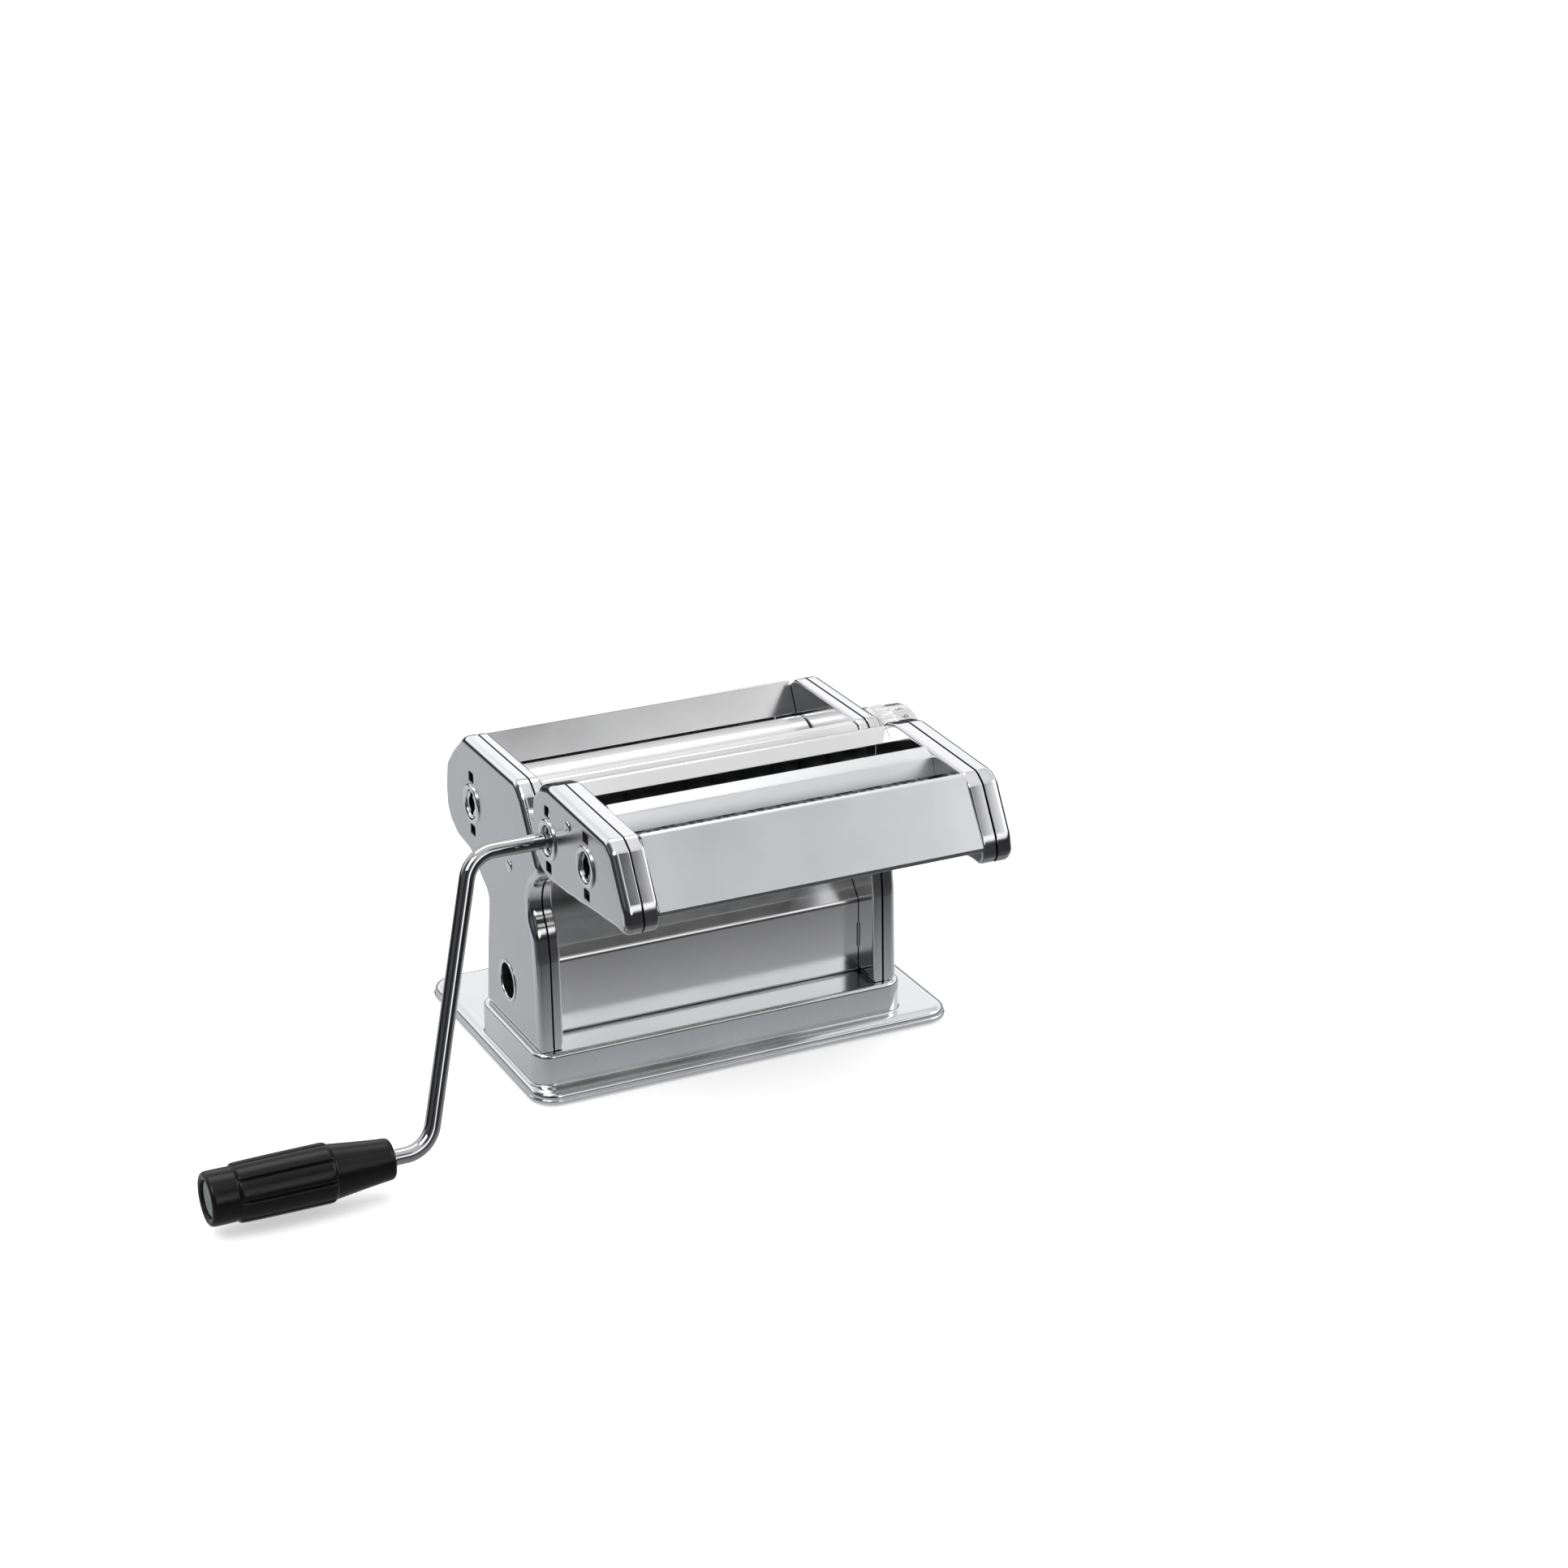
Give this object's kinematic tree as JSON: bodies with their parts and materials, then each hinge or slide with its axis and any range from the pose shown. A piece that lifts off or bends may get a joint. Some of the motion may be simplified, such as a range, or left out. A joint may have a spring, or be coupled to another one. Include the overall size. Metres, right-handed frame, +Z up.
{
  "type": "pasta roller machine",
  "caption": "Hand-cranked pasta sheet roller with a thickness knob, a flat pressed base and a lift-off cutter for wide and narrow noodles.",
  "frame": {"origin": "on the table, under the middle of the body, between the two side plates and half way along the base's depth", "axes": "+X along the rollers, away from the crank; -Y towards the cutter; +Z up"},
  "size_m": [0.3739, 0.233, 0.157],
  "materials": {
    "polished_steel": "polished, lightly brushed",
    "sheet_steel": "satin",
    "fasteners": "zinc plated",
    "rollers": "fine ground",
    "cutting_rollers": "ground",
    "gears": "milled, greased",
    "bushes": "moulded",
    "scrapers": "moulded",
    "knob": "satin",
    "rubber": "matt",
    "crank": "polished",
    "grip": "satin moulded",
    "grip_insert": "moulded"
  },
  "bodies": {
    "body": {"base_plate": "polished_steel", "base_bottom_plate": "sheet_steel", "non_slip_pad": "rubber", "leg_screws": "fasteners", "side_frame_left": "sheet_steel", "side_frame_right": "sheet_steel", "side_cover_left": "polished_steel", "side_cover_right": "polished_steel", "clamp_sockets": "sheet_steel", "body_tie_rods": "sheet_steel", "tie_rod_nuts": "fasteners", "front_rail": "sheet_steel", "cover_rivets": "polished_steel", "chute_plate": "polished_steel", "rear_cover": "polished_steel", "hopper_front_plate": "polished_steel", "roller_bushes": "bushes", "body_socket_ring": "polished_steel", "roller_scrapers": "scrapers", "index_plate": "polished_steel"},
    "fixed_roller": {"roller_fixed": "rollers", "gear_fixed_roller": "gears"},
    "carriage": {"adjuster_plate_left": "sheet_steel", "adjuster_plate_right": "sheet_steel", "adjuster_link_bar": "sheet_steel"},
    "adjustable_roller": {"roller_adjustable": "rollers", "gear_adjustable_roller": "gears"},
    "spindle": {"regulator_spindle": "fasteners", "knob_spring": "fasteners"},
    "knob": {"regulator_knob": "knob"},
    "cutter": {"cutter_frame_left": "sheet_steel", "cutter_frame_right": "sheet_steel", "cutter_cap_left": "polished_steel", "cutter_cap_right": "polished_steel", "cutter_front_plate": "polished_steel", "cutter_guide_plate": "polished_steel", "cutter_rear_plate": "polished_steel", "cutter_tie_rods": "sheet_steel", "cutter_bushes": "bushes", "cutter_socket_rings": "polished_steel", "cutter_screws": "polished_steel", "wide_comb": "scrapers", "narrow_comb": "scrapers"},
    "wide_drive": {"wide_cutter_drive": "cutting_rollers", "gear_wide_drive": "gears"},
    "wide_mate": {"wide_cutter_mate": "cutting_rollers", "gear_wide_mate": "gears"},
    "narrow_drive": {"narrow_cutter_drive": "cutting_rollers", "gear_narrow_drive": "gears"},
    "narrow_mate": {"narrow_cutter_mate": "cutting_rollers", "gear_narrow_mate": "gears"},
    "crank": {"crank_rod": "crank"},
    "grip": {"crank_grip": "grip", "grip_end_cap": "grip_insert"}
  },
  "joints": [
    {"name": "cutter_lift", "type": "slide", "parent": "body", "child": "cutter", "axis": [0, 0, 1], "range_m": [0, 0.06]},
    {"name": "wide_cutter_spin", "type": "hinge", "parent": "cutter", "child": "wide_drive", "pos_m": [-0.08, -0.0809, 0.1325], "axis": [1, 0, 0], "continuous": true},
    {"name": "wide_mate_spin", "type": "hinge", "parent": "cutter", "child": "wide_mate", "pos_m": [0, -0.0985, 0.1325], "axis": [1, 0, 0], "continuous": true},
    {"name": "narrow_cutter_spin", "type": "hinge", "parent": "cutter", "child": "narrow_drive", "pos_m": [0, -0.1225, 0.136], "axis": [1, 0, 0], "continuous": true},
    {"name": "narrow_mate_spin", "type": "hinge", "parent": "cutter", "child": "narrow_mate", "pos_m": [0, -0.1401, 0.136], "axis": [1, 0, 0], "continuous": true},
    {"name": "crank_pull", "type": "slide", "parent": "wide_drive", "child": "crank", "axis": [-1, 0, 0], "range_m": [0, 0.045]},
    {"name": "grip_spin", "type": "hinge", "parent": "crank", "child": "grip", "pos_m": [-0.2, -0.1133, 0.01737], "axis": [-1, 0, 0], "continuous": true},
    {"name": "fixed_roller_spin", "type": "hinge", "parent": "body", "child": "fixed_roller", "pos_m": [0, 0.0127, 0.115], "axis": [1, 0, 0], "continuous": true},
    {"name": "regulator_turn", "type": "hinge", "parent": "body", "child": "spindle", "pos_m": [0.09, -0.0159, 0.115], "axis": [1, 0, 0], "range_deg": [0, 140]},
    {"name": "carriage_slide", "type": "slide", "parent": "body", "child": "carriage", "axis": [0, 1, 0], "range_m": [0, 0.0026]},
    {"name": "adjustable_roller_spin", "type": "hinge", "parent": "carriage", "child": "adjustable_roller", "pos_m": [0, -0.0172, 0.115], "axis": [1, 0, 0], "continuous": true},
    {"name": "knob_pull", "type": "slide", "parent": "spindle", "child": "knob", "axis": [1, 0, 0], "range_m": [0, 0.004], "stiffness_N_per_m": 1200, "springref_m": -0.003, "deforming": ["knob_spring"]}
  ],
  "couplings": [
    {"joint": "wide_mate_spin", "follows": "wide_cutter_spin", "ratio": -1},
    {"joint": "narrow_mate_spin", "follows": "narrow_cutter_spin", "ratio": -1},
    {"joint": "adjustable_roller_spin", "follows": "fixed_roller_spin", "ratio": -1},
    {"joint": "carriage_slide", "follows": "regulator_turn", "m_per_rad": 0.001064}
  ]
}
